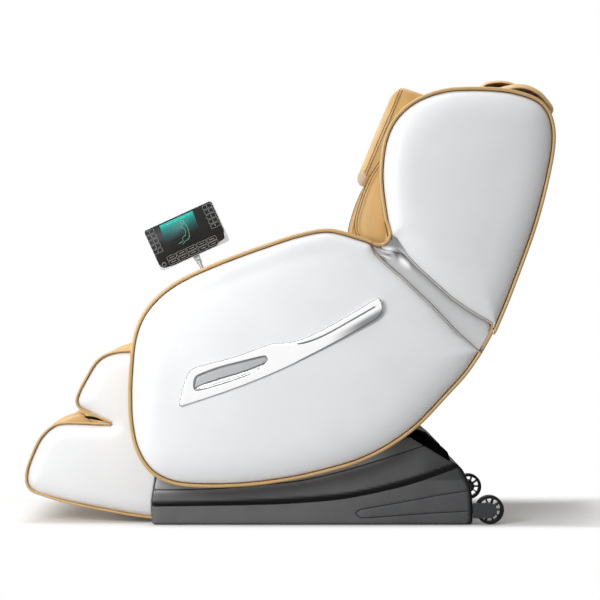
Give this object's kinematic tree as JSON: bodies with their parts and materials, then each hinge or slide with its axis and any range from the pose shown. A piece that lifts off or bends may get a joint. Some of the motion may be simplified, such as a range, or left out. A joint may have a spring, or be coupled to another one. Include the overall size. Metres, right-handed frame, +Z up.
{
  "type": "reclining massage chair",
  "caption": "Leather massage chair with a tilting seat shell, hinged padded back, lifting leg rest with sliding foot section, roller carriage, gold-edged side panels and a tablet remote.",
  "frame": {"origin": "floor level, at the centre of the overall length and width", "axes": "-X is the front of the chair (leg rest), -Y the sitter's left, +Z up"},
  "size_m": [1.4272, 0.754, 1.202],
  "materials": {
    "white_leather": "smooth, low sheen",
    "gold_leather": "soft metallic sheen",
    "satin_chrome": "satin",
    "grey_plastic": "fine texture",
    "black_plastic": "smooth",
    "frame_steel": "satin powder coat",
    "control_metal": "sheet steel, satin",
    "bright_steel": "brushed",
    "pad_rubber": "matt",
    "roller_rubber": "smooth",
    "screen_gloss": "glossy"
  },
  "bodies": {
    "base": {"base_frame": "frame_steel", "base_cover_left": "grey_plastic", "base_cover_right": "grey_plastic", "base_rear_cover": "black_plastic", "base_front_cover": "grey_plastic", "floor_pads": "pad_rubber", "wheel_brackets": "grey_plastic", "air_pump": "black_plastic", "control_box": "control_metal", "power_inlet": "black_plastic"},
    "wheel_left": {"wheel_left": "black_plastic"},
    "wheel_right": {"wheel_right": "black_plastic"},
    "power_switch": {"power_switch": "black_plastic"},
    "tilt_motor": {"tilt_motor": "black_plastic"},
    "tilt_rod": {"tilt_rod": "bright_steel"},
    "shell": {"seat_frame": "frame_steel", "side_walls": "gold_leather", "side_rim_left": "gold_leather", "side_rim_right": "gold_leather", "side_panel_left": "white_leather", "side_panel_right": "white_leather", "side_trim_left": "satin_chrome", "side_trim_right": "satin_chrome", "wedge_trim_left": "satin_chrome", "wedge_trim_right": "satin_chrome", "lower_back_cover": "gold_leather", "seat_pad": "gold_leather", "arm_pad_left": "gold_leather", "arm_pad_right": "gold_leather", "pivot_pins": "bright_steel", "remote_post": "bright_steel"},
    "back_motor": {"back_motor": "black_plastic"},
    "back_rod": {"back_rod": "bright_steel"},
    "remote_arm": {"remote_arm": "bright_steel"},
    "remote": {"remote_case": "black_plastic", "remote_screen": "screen_gloss"},
    "remote_button": {"remote_button": "satin_chrome"},
    "backrest": {"back_frame": "frame_steel", "back_shell": "gold_leather", "back_panel_left": "white_leather", "back_panel_right": "white_leather", "back_rim_left": "gold_leather", "back_rim_right": "gold_leather", "back_pad": "gold_leather", "wing_pad_left": "gold_leather", "wing_pad_right": "gold_leather", "head_pillow": "gold_leather", "top_flaps": "gold_leather", "lift_screw": "bright_steel"},
    "carriage": {"roller_carriage": "grey_plastic"},
    "roller_arms": {"roller_arms": "bright_steel"},
    "upper_rollers": {"upper_rollers": "roller_rubber"},
    "lower_rollers": {"lower_rollers": "roller_rubber"},
    "legrest": {"leg_frame": "frame_steel", "leg_motor": "black_plastic", "calf_sides": "white_leather", "calf_pad": "gold_leather"},
    "footrest": {"foot_frame": "frame_steel", "foot_sides": "white_leather", "foot_pad": "gold_leather"}
  },
  "joints": [
    {"name": "tilt", "type": "hinge", "parent": "base", "child": "shell", "pos_m": [0.2, 0, 0.2], "axis": [0, 1, 0], "range_deg": [0, 20]},
    {"name": "tilt_motor_swing", "type": "hinge", "parent": "base", "child": "tilt_motor", "pos_m": [-0.06, 0, 0.08], "axis": [0, 1, 0], "range_deg": [-1, 11]},
    {"name": "tilt_rod_slide", "type": "slide", "parent": "tilt_motor", "child": "tilt_rod", "axis": [0, 0, 1], "range_m": [-0.002, 0.092]},
    {"name": "recline", "type": "hinge", "parent": "shell", "child": "backrest", "pos_m": [0.292, 0, 0.483], "axis": [0, 1, 0], "range_deg": [0, 20]},
    {"name": "back_motor_swing", "type": "hinge", "parent": "shell", "child": "back_motor", "pos_m": [0.02, 0, 0.29], "axis": [0, 1, 0], "range_deg": [-4, 1]},
    {"name": "back_rod_slide", "type": "slide", "parent": "back_motor", "child": "back_rod", "axis": [0.9149, 0, 0.4036], "range_m": [-0.024, 0.002]},
    {"name": "leg_lift", "type": "hinge", "parent": "shell", "child": "legrest", "pos_m": [-0.35, 0, 0.425], "axis": [0, 1, 0], "range_deg": [0, 80]},
    {"name": "foot_slide", "type": "slide", "parent": "legrest", "child": "footrest", "axis": [-0.2028, 0, -0.9792], "range_m": [0, 0.1], "stiffness_N_per_m": 900, "springref_m": -0.1},
    {"name": "carriage_lift", "type": "slide", "parent": "backrest", "child": "carriage", "axis": [0.2284, 0, 0.9736], "range_m": [0, 0.33]},
    {"name": "roller_rock", "type": "hinge", "parent": "carriage", "child": "roller_arms", "pos_m": [0.35115, 0, 0.59654], "axis": [0, 1, 0], "range_deg": [-8, 8], "stiffness_Nm_per_rad": 20},
    {"name": "upper_roller_spin", "type": "hinge", "parent": "roller_arms", "child": "upper_rollers", "pos_m": [0.33805, 0, 0.6633], "axis": [0, 1, 0], "continuous": true},
    {"name": "lower_roller_spin", "type": "hinge", "parent": "roller_arms", "child": "lower_rollers", "pos_m": [0.30974, 0, 0.54258], "axis": [0, 1, 0], "continuous": true},
    {"name": "wheel_spin_left", "type": "hinge", "parent": "base", "child": "wheel_left", "pos_m": [0.537, -0.262, 0.0395], "axis": [0, 1, 0], "continuous": true},
    {"name": "wheel_spin_right", "type": "hinge", "parent": "base", "child": "wheel_right", "pos_m": [0.537, 0.262, 0.0395], "axis": [0, 1, 0], "continuous": true},
    {"name": "power_switch_rock", "type": "hinge", "parent": "base", "child": "power_switch", "pos_m": [0.485, -0.06, 0.044], "axis": [0, 1, 0], "range_deg": [0, 14]},
    {"name": "remote_swivel", "type": "hinge", "parent": "shell", "child": "remote_arm", "pos_m": [-0.314, 0.318, 0.795], "axis": [-0.4147, 0, 0.91], "range_deg": [-90, 90]},
    {"name": "remote_tilt", "type": "hinge", "parent": "remote_arm", "child": "remote", "pos_m": [-0.314, 0.298, 0.795], "axis": [0.91, 0, 0.4147], "range_deg": [-30, 8]},
    {"name": "remote_button_press", "type": "slide", "parent": "remote", "child": "remote_button", "axis": [0, 1, 0], "range_m": [0, 0.001], "stiffness_N_per_m": 1500, "springref_m": -0.0005}
  ],
  "couplings": [
    {"joint": "tilt_motor_swing", "follows": "tilt", "ratio": 0.5},
    {"joint": "tilt_rod_slide", "follows": "tilt", "m_per_rad": 0.25114},
    {"joint": "back_motor_swing", "follows": "recline", "ratio": -0.13535},
    {"joint": "back_rod_slide", "follows": "recline", "m_per_rad": -0.0613}
  ]
}
